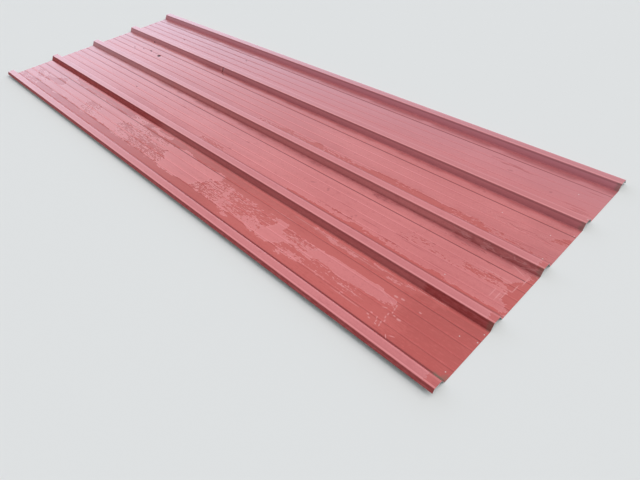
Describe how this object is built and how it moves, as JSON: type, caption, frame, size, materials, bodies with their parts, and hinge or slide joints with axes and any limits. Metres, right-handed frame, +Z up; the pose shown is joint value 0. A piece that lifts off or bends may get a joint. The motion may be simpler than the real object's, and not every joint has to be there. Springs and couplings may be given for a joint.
{
  "type": "trapezoidal corrugated metal sheet",
  "caption": "Roll-formed trapezoidal roofing sheet in painted steel: low flat-topped ribs between wide beaded pans, with one short edge web that laps over its neighbour.",
  "frame": {"origin": "under the middle of the sheet, on the plane that its pans rest on", "axes": "+X along the ribs, +Y across the sheet from the overlapping to the underlapping edge, +Z up"},
  "size_m": [3, 1.1214, 0.025],
  "materials": {
    "coated_steel": "semi-gloss coil coating, oxide red, with dried water marks"
  },
  "bodies": {
    "root": {"profiled_sheet": "coated_steel"}
  },
  "joints": []
}
